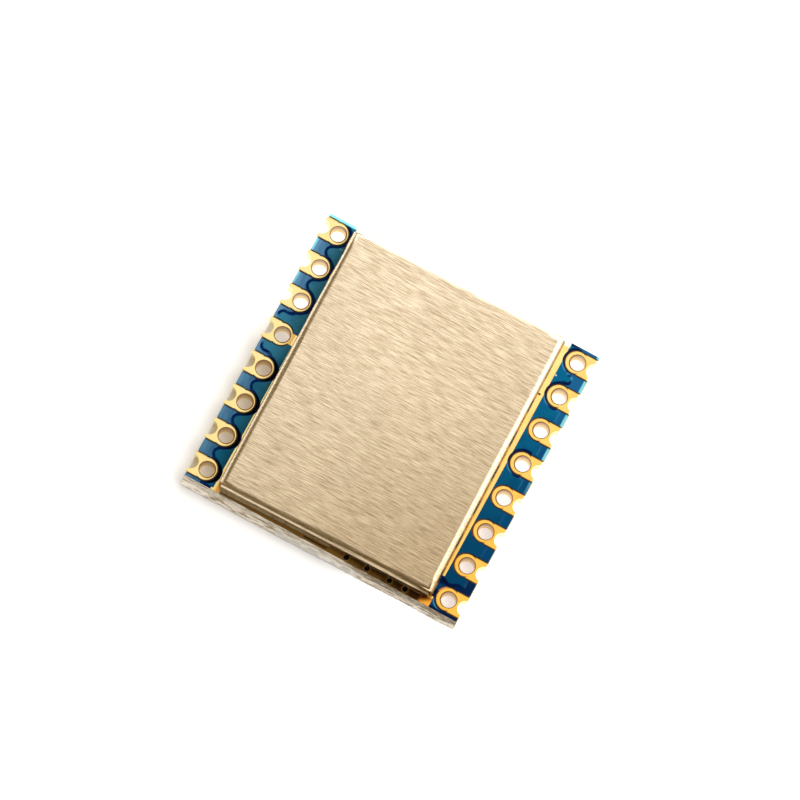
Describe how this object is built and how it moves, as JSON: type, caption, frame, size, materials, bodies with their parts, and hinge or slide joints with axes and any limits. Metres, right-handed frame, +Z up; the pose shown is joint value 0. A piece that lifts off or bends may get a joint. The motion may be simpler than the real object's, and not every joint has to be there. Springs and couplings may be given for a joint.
{
  "type": "shielded radio module",
  "caption": "Square castellated circuit board with plated pin holes along its sides and a folded metal shield can soldered over its radio circuit.",
  "frame": {"origin": "middle of the underside, on the plane of the lower pads", "axes": "+X from the left row of terminals to the right row, +Y to the back edge, +Z up through the shield"},
  "size_m": [0.016, 0.0162, 0.0024],
  "materials": {
    "laminate": "glass-epoxy laminate, rough where it was snapped",
    "mask": "glossy blue solder mask",
    "gold": "gold plated copper",
    "copper": "plated copper",
    "shield": "brushed nickel-silver sheet",
    "solder": "tin solder",
    "chip": "black moulding compound",
    "ceramic": "fired ceramic",
    "lid": "plain metal lid"
  },
  "bodies": {
    "root": {"unclad_core": "laminate", "top_mask": "mask", "bottom_mask": "mask", "top_ground": "gold", "antenna_trace": "gold", "ground_vias": "gold", "terminal_1": "gold", "terminal_2": "gold", "terminal_3": "gold", "terminal_4": "gold", "terminal_5": "gold", "terminal_6": "gold", "terminal_7": "gold", "terminal_8": "gold", "terminal_9": "gold", "terminal_10": "gold", "terminal_11": "gold", "terminal_12": "gold", "terminal_13": "gold", "terminal_14": "gold", "terminal_15": "gold", "terminal_16": "gold", "bottom_ground": "copper", "component_lands": "copper", "crystal_pads": "copper", "shield_can": "shield", "shield_solder": "solder", "transceiver_leads": "solder", "antenna_switch_leads": "solder", "capacitor_ends": "solder", "inductor_ends": "solder", "resistor_ends": "solder", "transceiver_body": "chip", "antenna_switch_body": "chip", "resistor_bodies": "chip", "capacitor_bodies": "ceramic", "inductor_bodies": "ceramic", "crystal_base": "ceramic", "crystal_lid": "lid"}
  },
  "joints": []
}
